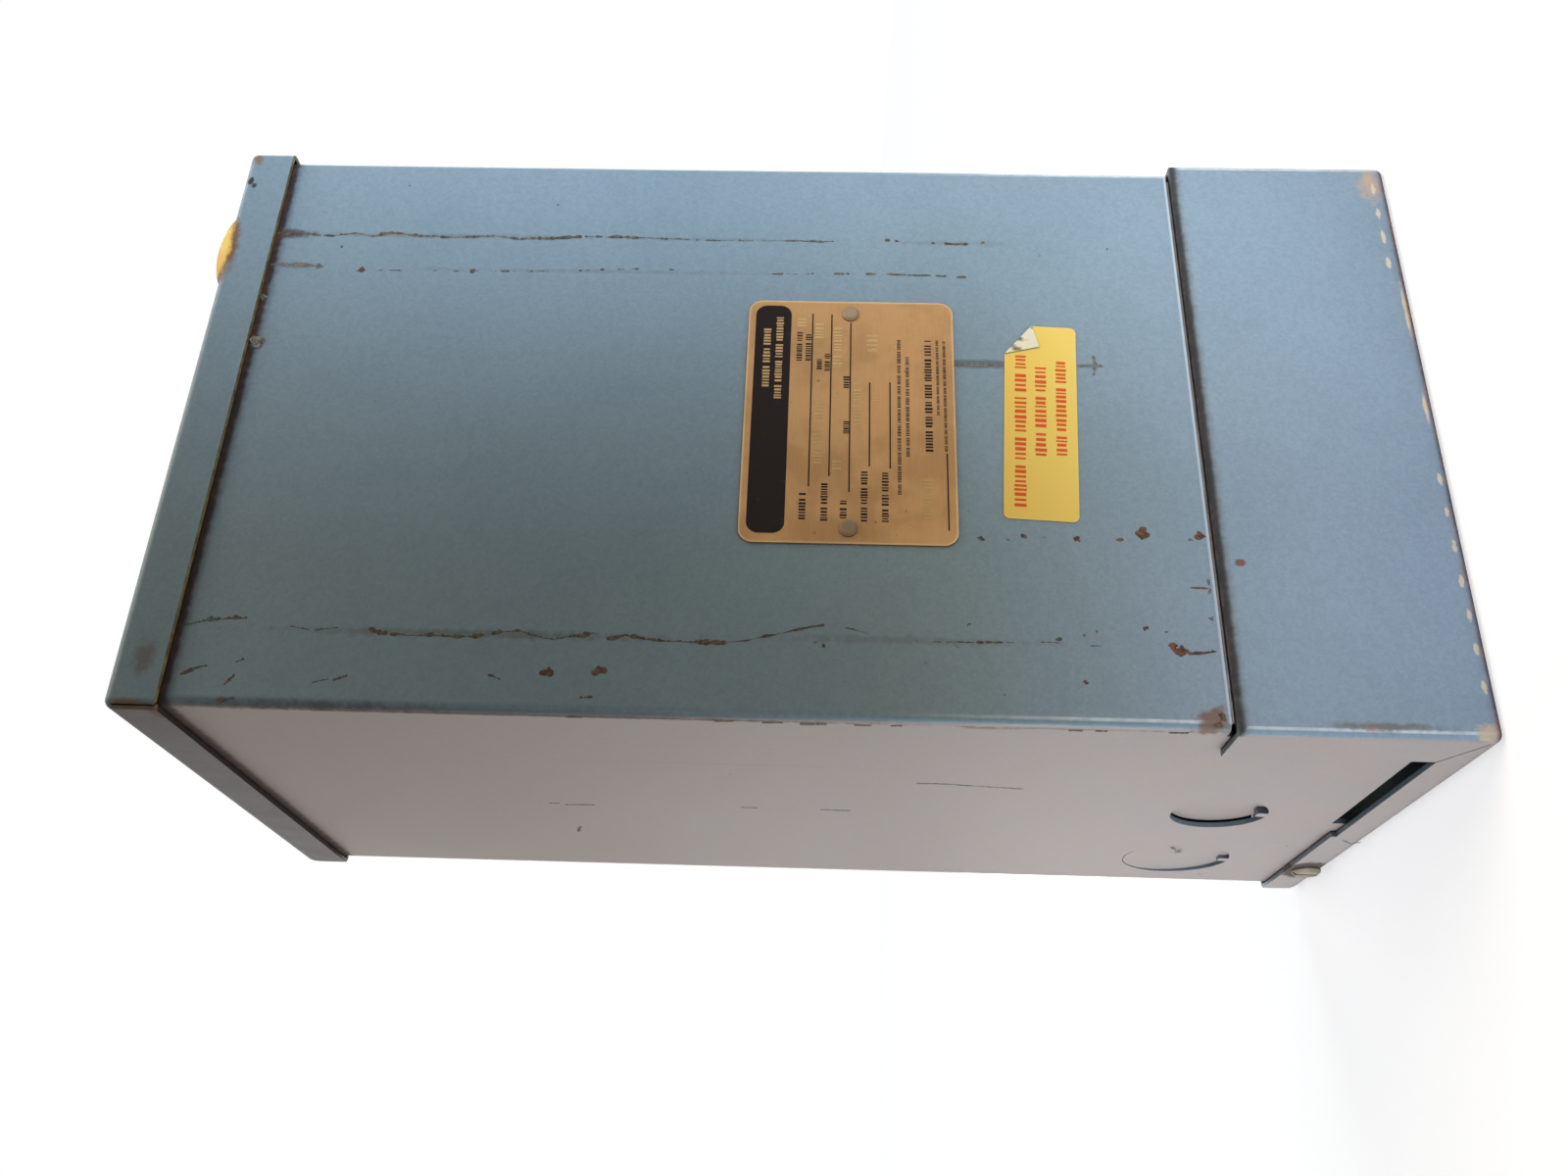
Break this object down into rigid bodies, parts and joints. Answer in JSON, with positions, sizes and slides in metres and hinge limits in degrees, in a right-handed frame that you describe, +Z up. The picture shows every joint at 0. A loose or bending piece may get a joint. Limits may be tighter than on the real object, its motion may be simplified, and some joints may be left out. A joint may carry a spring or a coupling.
{
  "type": "dry-type electrical transformer",
  "caption": "Wall-hung dry-type electrical transformer in a folded steel box, with a lapped top cap, an L-shaped wiring cover and conduit knockouts in its sides.",
  "frame": {"origin": "middle of the base, on the surface that the unit stands on", "axes": "+Z up along the case as it hangs on a wall, -Y out of the front panel, +X to the right seen from the front"},
  "size_m": [0.1916, 0.16, 0.359],
  "materials": {
    "enamel": "aged blue-grey enamel on folded steel, scratched, with rust at its edges",
    "inner_steel": "blue-grey enamel, dusty, inside the box",
    "potting": "sand-filled resin, matt and dark",
    "plate": "gold lacquered aluminium, printed black band and ruled lines",
    "rivet": "dull drive rivet",
    "label": "yellow paper label, one corner lifted",
    "screw": "plated steel, tarnished"
  },
  "bodies": {
    "root": {"case_shell": "enamel", "back_panel": "enamel", "top_cap": "enamel", "wiring_cover": "enamel", "compartment_deck": "inner_steel", "core_block": "potting", "nameplate": "plate", "nameplate_rivet_left": "rivet", "nameplate_rivet_right": "rivet", "rating_label": "label", "left_small_knockout": "enamel", "left_large_knockout": "enamel", "right_small_knockout": "enamel", "right_large_knockout": "enamel", "left_cover_screw": "screw", "right_cover_screw": "screw"}
  },
  "joints": []
}
